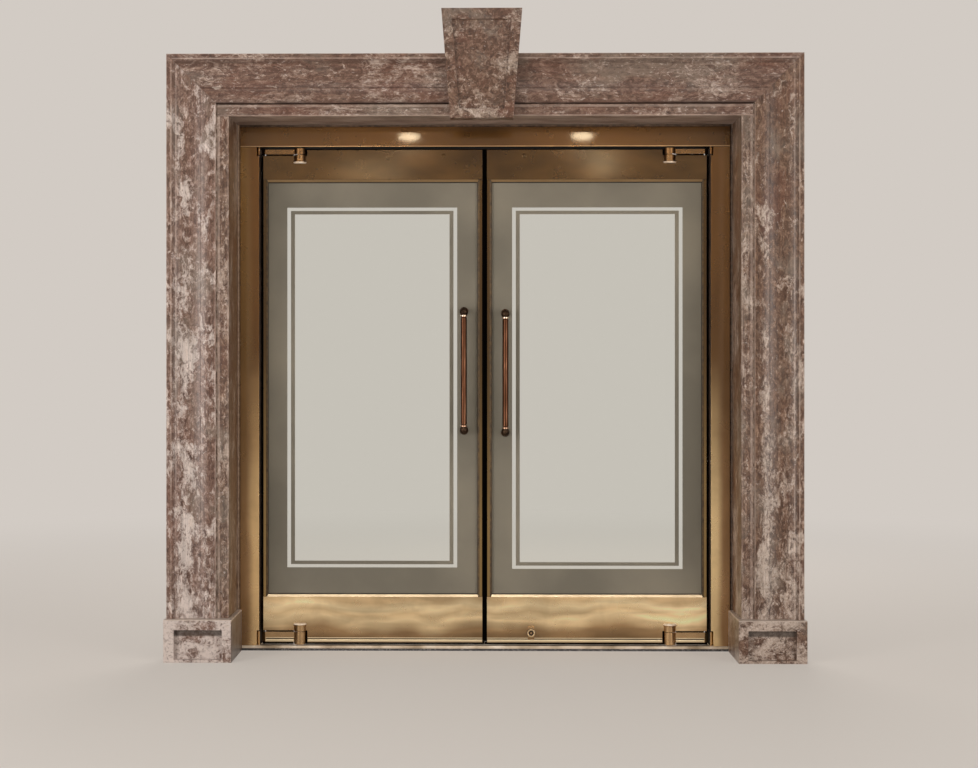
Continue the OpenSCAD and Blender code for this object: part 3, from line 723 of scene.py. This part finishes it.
skin_y, skin_low, skin_top, skin_depth = 0.1369, 0.2185, 1.9085, 0.00025
for side, way_out, drop in (("left", -1, 0.0), ("right", 1, 0.005)):
    pane = nodes[side + "_glass"]
    pane.data.materials.clear()
    pane.data.materials.append(clear_glass)

    # near and far from the doorway's middle, low and high: the clear line's outer
    # edge, its inner edge, and the clear panel's edge
    rings = ((0.1115, 0.802, 0.3356 - drop, 1.797), (0.1265, 0.787, 0.3486 - drop, 1.784),
             (0.1425, 0.771, 0.3626 - drop, 1.77))
    x_low, x_high = sorted((way_out * 0.0268, way_out * 0.8812))
    deselect_all()
    bpy.ops.mesh.primitive_plane_add(size=1, location=(0, skin_y, 0.5),
                                     rotation=(math.radians(90), 0, 0))
    skin = bpy.context.object
    bpy.ops.object.transform_apply(location=True, rotation=True, scale=True)
    bpy.ops.object.mode_set(mode="EDIT")
    bpy.ops.transform.resize(value=(x_high - x_low, 1, skin_top - skin_low),
                             center_override=(0, skin_y, 0))
    bpy.ops.transform.translate(value=((x_low + x_high) / 2, 0, skin_low))
    for near, far, low_z, high_z in rings:
        for cut in (way_out * near, way_out * far):
            bpy.ops.mesh.select_all(action="SELECT")
            bpy.ops.mesh.bisect(plane_co=(cut, 0, 0), plane_no=(1, 0, 0))
        for cut in (low_z, high_z):
            bpy.ops.mesh.select_all(action="SELECT")
            bpy.ops.mesh.bisect(plane_co=(0, 0, cut), plane_no=(0, 0, 1))

    def inside(middle, ring):
        """Whether a face's middle lies inside one of the rings."""
        near, far, low_z, high_z = ring
        return near < abs(middle.x) < far and low_z < middle.z < high_z

    choose(skin, "FACE", lambda middle, normal: inside(middle, rings[2])
           or (inside(middle, rings[0]) and not inside(middle, rings[1])))
    bpy.ops.mesh.delete(type="FACE")
    bpy.ops.mesh.select_all(action="SELECT")
    bpy.ops.mesh.dissolve_limited(angle_limit=math.radians(1))
    bpy.ops.mesh.select_all(action="SELECT")
    bpy.ops.mesh.extrude_region_move(
        TRANSFORM_OT_translate={"value": (0, -skin_depth, 0)})
    bpy.ops.mesh.select_all(action="SELECT")
    bpy.ops.mesh.normals_make_consistent(inside=False)
    bpy.ops.object.mode_set(mode="OBJECT")
    settle(skin, side + "_etching", side + "_leaf", etched)


# Arms, knuckles and shafts: cast brass, machined, painted bright low down and brown
# above as painted reflection. The shaft stands in the dark of the jamb groove and is
# painted nearly black as painted shade.
def cast_tone(colour, hub):
    """Cast brass with a dark band of painted shade where the arm enters the jamb."""
    def tone(tree, coords):
        axes = add(tree, "SeparateXYZ", {"Vector": coords})
        half = add(tree, "Math", {0: axes.outputs["X"]}, operation="ABSOLUTE")
        deep = add(tree, "MapRange", {"Value": half, "From Min": 0.885, "From Max": 0.935})
        return add(tree, "ValToRGB", {"Fac": deep},
                   stops=[(0.12, colour), (0.16, "#1c130c"), (0.56, "#1c130c"),
                          (0.6, hub)])
    return tone


# Cast brass is redder and smoother than the sheet. The shaft's bronze is painted
# shade: nearly black and dull, in patches that change every 25 mm.
low_cast = brass("cast_brass_low", cast_tone("#b8966c", "#c39c69"), (3.0, 3.0, 3.0),
                 0.15, satin=(0.24, 0.3))
high_cast = brass("cast_brass_high", cast_tone("#7c5c39", "#755028"), (3.0, 3.0, 3.0),
                  0.15, satin=(0.24, 0.3))
shade_bronze, tree, shader, coords = blank("shade_dark_bronze")
crust = add(tree, "TexNoise", {"Vector": coords, "Scale": 40.0, "Detail": 4.0})
shade_tone = add(tree, "ValToRGB", {"Fac": crust},
             stops=[(0.35, "#1d130c"), (0.65, "#36261a")])
feed(tree, shader, {"Base Color": shade_tone, "Metallic": 0.6, "Roughness": 0.55})
for side in ("left", "right"):
    for part, body, finish, arris in (("_top_knuckle", "_leaf", high_cast, 0.001),
                                      ("_bottom_knuckle", "_leaf", low_cast, 0.001),
                                      ("_top_arm", "_arm", high_cast, 0.0012),
                                      ("_bottom_arm", "_arm", low_cast, 0.0012),
                                      ("_arm_shaft", "_arm", shade_bronze, 0.001)):
        dressed(side + part, side + body, finish, arris)


# Rolled beads along the foot of the low rails and of the bottom arms: brass
# half-round with a fillet above it, soldered on, and a black strip of painted shade
# between the two. The pale colour of this brass is a painted highlight.
bead_low_brass = brass("highlight_brass_bead", "#e9d6b2", contrast=0.08, satin=(0.3, 0.36))
bead_z, bead_radius, flatter = 0.0402, 0.0062, 0.6
for part, body, x_low, x_high, face_y in (("rail", "leaf", 0.0105, 0.718, 0.121),
                                          ("arm", "arm", 0.7745, 0.889, 0.123)):
    deselect_all()
    bpy.ops.mesh.primitive_cylinder_add(
        vertices=24, radius=bead_radius, depth=x_high - x_low,
        location=((x_low + x_high) / 2, face_y, bead_z),
        rotation=(0, math.radians(90), 0))
    rolled = bpy.context.object
    bpy.ops.object.transform_apply(location=True, rotation=True, scale=True)
    bpy.ops.object.mode_set(mode="EDIT")
    bpy.ops.transform.resize(value=(1, flatter, 1), center_override=(0, face_y, 0))
    bpy.ops.mesh.bisect(plane_co=(0, face_y + 0.0002, 0), plane_no=(0, 1, 0),
                        use_fill=True, clear_outer=True)
    bpy.ops.object.mode_set(mode="OBJECT")
    fillet = bar((x_low, face_y - 0.0016, 0.0494), (x_high, face_y + 0.0002, 0.0532),
                 0.0006)
    rolled.select_set(True)
    bpy.context.view_layer.objects.active = rolled
    bpy.ops.object.join()
    for side, piece in both_sides(ease_normals(rolled, 40)):
        settle(piece, "_".join((side, part, "foot_bead")), side + "_" + body,
               bead_low_brass)
    shade_strip = bar((x_low, face_y - 0.0006, 0.0462), (x_high, face_y + 0.0002, 0.0494),
               0.0003)
    for side, piece in both_sides(shade_strip):
        settle(piece, "_".join((side, part, "foot_bead_shade")), side + "_" + body,
               shade_bronze)


# Pulls: bronze bar with bent ends, worn red-brown by hands, on rosettes, with a
# turned knob and a collar at each end of the grip. The dark of rosettes and knobs is
# painted shade, the collars' brightness a painted highlight.
def turned(rings, arris=0.0004, vertices=40):
    """A pattern piece turned from rings of radius and height."""
    deselect_all()
    radius, height = rings[0]
    bpy.ops.mesh.primitive_circle_add(vertices=vertices, radius=radius,
                                      fill_type="NGON", location=(0, 0, height))
    piece = bpy.context.object
    bpy.ops.object.transform_apply(location=True, rotation=True, scale=True)
    bpy.ops.object.mode_set(mode="EDIT")
    bpy.ops.mesh.select_all(action="SELECT")
    for next_radius, next_height in rings[1:]:
        bpy.ops.mesh.extrude_region_move(
            TRANSFORM_OT_translate={"value": (0, 0, next_height - height)})
        ratio = next_radius / radius
        bpy.ops.transform.resize(value=(ratio, ratio, 1),
                                 center_override=(0, 0, next_height))
        radius, height = next_radius, next_height
    bpy.ops.mesh.select_all(action="SELECT")
    bpy.ops.mesh.normals_make_consistent(inside=False)
    bpy.ops.mesh.select_all(action="DESELECT")
    bpy.ops.mesh.select_mode(type="EDGE")
    bpy.ops.mesh.edges_select_sharp(sharpness=math.radians(40))
    bpy.ops.mesh.bevel(offset=arris, segments=2, clamp_overlap=True)
    return ease_normals(piece, 40)


# Hand-worn bronze: satin red-brown with fine streaks 8 mm wide along the grip.
bronze, tree, shader, coords = blank("hand_worn_bronze")
drawn = add(tree, "Mapping", {"Vector": coords, "Scale": (1.0, 1.0, 0.08)})
rub = add(tree, "TexNoise", {"Vector": drawn, "Scale": 120.0, "Detail": 3.0})
hands = add(tree, "ValToRGB", {"Fac": rub},
            stops=[(0.35, "#3f271a"), (0.55, "#553727"), (0.7, "#785640")])
feed(tree, shader, {"Base Color": hands, "Metallic": 1.0, "Roughness": 0.32})

# Dark bronze, brown-black and duller, in patches of 11 mm: painted shade on the rosettes
# and knobs.
dark_bronze, tree, shader, coords = blank("dark_bronze")
crust = add(tree, "TexNoise", {"Vector": coords, "Scale": 90.0, "Detail": 3.0})
shade_tone = add(tree, "ValToRGB", {"Fac": crust},
             stops=[(0.35, "#2e2219"), (0.65, "#4d3b2d")])
feed(tree, shader, {"Base Color": shade_tone, "Metallic": 0.9, "Roughness": 0.45})

# Collars: pale bronze as painted highlights, paler above.
highlight_bronze = {"top": brass("highlight_bronze_above", "#dcc0a6"),
                 "low": brass("highlight_bronze_below", "#a27f66")}

# From the glass to the grip's axis, and from the grip's middle to each end piece.
grip_out, rosette_off, knob_off, collar_off = 0.062, 0.2415, 0.2375, 0.222
quarter = math.radians(90)
knob_radius, collar_high = 0.0168, 0.0064
ball = [(knob_radius * math.cos(math.radians(a)), knob_radius * math.sin(math.radians(a)))
        for a in range(-42, 84, 14)]
rosette = turned(((0.0175, 0.0001), (0.0175, 0.006), (0.0155, 0.0085), (0.0112, 0.0098)))
knob = turned([(0.0123, -0.0128), *ball])
collar = turned(((0.0127, 0.0), (0.0134, 0.0006), (0.0134, 0.0058), (0.0127, collar_high)))
for side, pull_x, middle_z in (("left", -0.084, 1.134), ("right", 0.084, 1.126)):
    for face, glass_y, outward in (("outside", glass_front, -1), ("inside", glass_back, 1)):
        name, leaf = side + "_" + face, side + "_leaf"
        dressed(name + "_pull", leaf, bronze, 0.001)
        grip_y = glass_y + outward * grip_out
        for end, up in (("top", 1), ("low", -1)):
            settle(twin(rosette, (pull_x, glass_y, middle_z + up * rosette_off),
                        (-outward * quarter, 0, 0)),
                   name + "_" + end + "_rosette", leaf, dark_bronze)
            settle(twin(knob, (pull_x, grip_y, middle_z + up * knob_off),
                        (0 if up > 0 else math.pi, 0, 0)),
                   name + "_" + end + "_knob", leaf, dark_bronze)
            settle(twin(collar, (pull_x, grip_y,
                                 middle_z + up * collar_off - collar_high / 2)),
                   name + "_" + end + "_collar", leaf, highlight_bronze[end])
for pattern in (rosette, knob, collar):
    bpy.data.objects.remove(pattern)


# Pale lips of the leaf knuckles: the turned edge, painted almost white as a
# highlight and no longer mirroring, in patches of 17 mm.
painted_highlight, tree, shader, coords = blank("highlight_brass_edge")
lip_patches = add(tree, "TexNoise", {"Vector": coords, "Scale": 60.0, "Detail": 3.0})
lip_highlight = add(tree, "ValToRGB", {"Fac": lip_patches},
              stops=[(0.35, "#e6d2b8"), (0.65, "#fff3e2")])
feed(tree, shader, {"Base Color": lip_highlight, "Metallic": 0.15, "Roughness": 0.4})
pivot_x, pivot_y = 0.7495, 0.127
for end, rings in (
        ("low", ((0.024, 0.1045), (0.0272, 0.1048), (0.0272, 0.1082), (0.0232, 0.1123))),
        ("top", ((0.0232, 1.9747), (0.0272, 1.9788), (0.0272, 1.9808), (0.024, 1.9811)))):
    pale_lip = turned(rings)
    for side, way_out in (("left", -1), ("right", 1)):
        settle(twin(pale_lip, (way_out * pivot_x, pivot_y, 0)),
               side + "_" + end + "_knuckle_lip", side + "_leaf", painted_highlight)
    bpy.data.objects.remove(pale_lip)


# Lock on the right leaf: turned brass rose with a raised rim round the key
# barrel, inside and out. The barrel's face is dark with key scratches and oil.
lock_x, lock_z, lock_reach = 0.188, 0.073, 0.02


def lock_tone(tree, coords):
    """Pale plate and rim, a dark barrel and a dark line of painted shadow round the
    rose, by the distance from the lock's own axis."""
    off = add(tree, "VectorMath", {0: coords, 1: (lock_x, leaf_middle, lock_z)},
              operation="SUBTRACT")
    level = add(tree, "VectorMath", {0: off, 1: (1, 0, 1)}, operation="MULTIPLY")
    away = add(tree, "VectorMath", {0: level}, operation="LENGTH")
    share = add(tree, "MapRange", {"Value": away.outputs["Value"], "From Max": lock_reach})
    return add(tree, "ValToRGB", {"Fac": share},
               stops=[(0.16, "#b08e68"), (0.26, "#33241a"), (0.48, "#33241a"),
                      (0.56, "#dcc199"), (0.79, "#dcc199"), (0.83, "#33241a"),
                      (0.9, "#a3835c")])


lock_brass = brass("lock_brass", lock_tone, (3.0, 3.0, 3.0), 0.15, satin=(0.26, 0.3))
dressed("lock_cylinder", "right_leaf", lock_brass, 0.0015)
rim = turned(((0.0162, 0.0), (0.0162, 0.0024), (0.0148, 0.0036), (0.012, 0.0036),
              (0.0105, 0.0022), (0.0105, 0.0008)))
for face, face_y, turn in (("outside", 0.112, quarter), ("inside", 0.174, -quarter)):
    settle(twin(rim, (lock_x, face_y, lock_z), (turn, 0, 0)), "lock_rim_" + face,
           "right_leaf", lock_brass)
bpy.data.objects.remove(rim)


# Brass plugs over the fixing screws of the top rails, driven in and filed low.
plug = turned(((0.0095, 0.0), (0.0095, 0.0012), (0.0075, 0.0022), (0.003, 0.0026)))
rail_face, plug_z = 0.1209, 2.005
for side, plug_x in (("left", -0.1665), ("right", 0.161)):
    settle(twin(plug, (plug_x, rail_face, plug_z), (quarter, 0, 0)),
           side + "_rail_plug", side + "_leaf", edge_brass)
bpy.data.objects.remove(plug)


# Weather strips: black nylon pile in the gaps round the leaves, glued to the
# leaf edges, the arms, the head and the back of the jambs. Pile swallows the
# light; its tufts are drawn 2.5 mm wide, coarser than real, so that they show.
pile, tree, shader, coords = blank("black_nylon_pile")
tuft = add(tree, "TexNoise", {"Vector": coords, "Scale": 400.0, "Detail": 2.0})
fibre = add(tree, "ValToRGB", {"Fac": tuft}, stops=[(0.35, "#070403"), (0.7, "#120b07")])
ruffle = add(tree, "Bump", {"Height": tuft, "Strength": 0.6, "Distance": 0.001})
feed(tree, shader, {"Base Color": fibre, "Roughness": 0.9, "Specular IOR Level": 0.15,
                    "Normal": ruffle})
for body, name, low, high in (
        ("surround", "head_back", (-0.905, 0.209, 2.031), (0.905, 0.224, 2.0422)),
        ("surround", "head_lining", (-0.9, 0.1175, 2.0409), (0.9, 0.209, 2.0421)),
        ("left_leaf", "left_meeting", (-0.0096, 0.151, 0.0335), (0.001, 0.157, 2.0295)),
        ("right_leaf", "right_meeting", (-0.001, 0.158, 0.0335),
         (0.0096, 0.164, 2.0295))):
    settle(bar(low, high, 0.0003, 1), name + "_pile", body, pile)
for body, name, near, far, front, back, low_z, high_z in (
        ("surround", "jamb_back", 0.9025, 0.9147, 0.209, 0.224, 0.0212, 2.0418),
        ("leaf", "meeting_carrier", 0.009, 0.0096, 0.1228, 0.1635, 0.0335, 2.0295),
        ("leaf", "hinge_edge", 0.8984, 0.903, 0.15, 0.162, 0.0815, 2.0065),
        ("leaf", "foot", 0.0002, 0.731, 0.146, 0.156, 0.0225, 0.0332),
        ("leaf", "low_notch", 0.7194, 0.7425, 0.153, 0.163, 0.0335, 0.0808),
        ("leaf", "top_notch", 0.7194, 0.7425, 0.153, 0.163, 2.0072, 2.0295),
        ("arm", "arm_foot", 0.7775, 0.904, 0.146, 0.154, 0.0225, 0.0352),
        ("arm", "low_arm", 0.7775, 0.89, 0.148, 0.156, 0.0748, 0.0792),
        ("arm", "top_arm", 0.7775, 0.89, 0.148, 0.156, 2.0088, 2.0132)):
    strip = bar((near, front, low_z), (far, back, high_z), 0.0003, 1)
    for side, piece in both_sides(strip):
        settle(piece, side + "_" + name + "_pile",
               body if body == "surround" else side + "_" + body, pile)


# Glazing seals: dark olive strips pressed between the glass and the upright
# channels, half over the channel's face, their dark a painted reflection on the
# channel. Old soft rubber, half matt, with greasy patches of 20 mm.
seal, tree, shader, coords = blank("olive_glazing_seal")
greasy = add(tree, "TexNoise", {"Vector": coords, "Scale": 50.0, "Detail": 3.0})
olive = add(tree, "ValToRGB", {"Fac": greasy},
            stops=[(0.35, "#3d2c16"), (0.65, "#5c4727")])
feed(tree, shader, {"Base Color": olive, "Roughness": 0.5})
for edge, near, far in (("meeting", 0.0205, 0.0285), ("hinge", 0.8795, 0.8875)):
    strip = bar((near, 0.1243, 0.2181), (far, 0.1369, 1.9089), 0.0012)
    for side, face, piece in all_four(strip):
        settle(piece, "_".join((side, edge, face, "seal")), side + "_leaf",
               seal)


# Floor, light and camera: a plain pale floor, soft studio light, and the camera
# where the photographer stood.
deselect_all()
bpy.ops.mesh.primitive_plane_add(size=120, location=(0, 0, 0))
floor = bpy.context.object
floor.name = "studio_floor"

# Floor paint: pale and matt. Away from the object it turns to the backing colour
# for the camera, so that no horizon shows, and keeps the object's shadow.
backing = "#d2cbc4"
plain, tree, shader, coords = blank("pale_floor")
away = add(tree, "VectorMath", {0: coords}, operation="LENGTH")
far = add(tree, "MapRange", {"Value": away.outputs["Value"], "From Min": 0.8,
                             "From Max": 7.5, "To Min": 0.45},
          interpolation_type="SMOOTHSTEP")
feed(tree, shader, {"Base Color": "#e9e4de", "Roughness": 0.8})


def in_view(tree):
    """One for what the camera sees directly, through glass or mirrored."""
    ray = add(tree, "LightPath")
    seen = add(tree, "Math", {0: ray.outputs["Is Camera Ray"],
                              1: ray.outputs["Is Transmission Ray"]}, operation="MAXIMUM")
    return add(tree, "Math", {0: seen, 1: ray.outputs["Is Glossy Ray"]},
               operation="MAXIMUM")


glow = add(tree, "Emission", {"Color": backing, "Strength": 1.0})
share = add(tree, "Math", {0: far, 1: in_view(tree)}, operation="MULTIPLY")
blend = add(tree, "MixShader", {0: share, 1: shader, 2: glow})
output = next(n for n in tree.nodes if n.type == "OUTPUT_MATERIAL")
feed(tree, output, {"Surface": blend})
floor.data.materials.append(plain)

world = bpy.data.worlds.new("studio")
bpy.context.scene.world = world
world.use_nodes = True
tree = world.node_tree
tree.nodes.clear()
dim = add(tree, "Background", {"Color": "#98938d", "Strength": 1.0})
lit = add(tree, "Background", {"Color": backing, "Strength": 1.0})
whole = add(tree, "MixShader", {0: in_view(tree), 1: dim, 2: lit})
add(tree, "OutputWorld", {"Surface": whole})


def lamp(name, place, aim, size, power, colour="#fff8f2", shape="RECTANGLE"):
    """A soft light that faces a point and isn't itself in view."""
    data = bpy.data.lights.new(name, "AREA")
    data.shape = shape
    data.size, data.size_y = size
    data.energy = power
    data.color = linear(colour)[:3]
    light = bpy.data.objects.new(name, data)
    bpy.context.scene.collection.objects.link(light)
    light.location = place
    light.rotation_euler = (Vector(aim) - Vector(place)).to_track_quat("-Z", "Y").to_euler()
    light.visible_camera = False
    light.visible_transmission = False


lamp("key_light", (-3.8, -4.6, 1.3), (0, 0, 0.9), (2.0, 2.0), 125)
lamp("fill_light", (4.0, -5.2, 1.3), (0, 0, 0.9), (2.4, 2.4), 106)
lamp("strip_light", (0, -2.6, 3.4), (0, 0, 1.2), (2.8, 0.14), 10)
lamp("rear_light", (0.5, 4.5, 3.6), (0, 0, 1.1), (3.0, 3.0), 100, "#fff6ee")

# two lamps for the highlights on the head, two for the glows on the top rails
lamp("head_spot_left", (-0.425, -2.9, 2.437), (-0.35, 0.1, 1.7), (0.12, 0.045), 0.7,
     "#ffe6be", "ELLIPSE")
lamp("head_spot_right", (0.548, -2.9, 2.44), (0.4, 0.1, 1.7), (0.12, 0.045), 0.7,
     "#ffe6be", "ELLIPSE")
lamp("rail_spot_left", (-0.637, -2.9, 2.227), (-0.45, 0.1, 1.7), (0.42, 0.12), 1.2,
     "#ffe0ae", "ELLIPSE")
lamp("rail_spot_right", (0.657, -2.9, 2.285), (0.47, 0.1, 1.7), (0.15, 0.16), 1.2,
     "#ffe0ae", "ELLIPSE")

# the lens in pixels of the photograph's width, and its frame's shift from the middle
photo_width, lens_pixels, right_pixels, down_pixels = 978, 1919, 31, 22
sensor = 36.0
view_data = bpy.data.cameras.new("photo_view")
view_data.sensor_width = sensor
view_data.lens = sensor * lens_pixels / photo_width
view_data.shift_x = right_pixels / photo_width
view_data.shift_y = -down_pixels / photo_width
camera = bpy.data.objects.new("photo_view", view_data)
bpy.context.scene.collection.objects.link(camera)
camera.location = (0.002, -7.655, 1.170)
camera.rotation_euler = (math.radians(90), 0, math.radians(0.81))
bpy.context.scene.camera = camera
bpy.context.scene.view_settings.view_transform = "Standard"
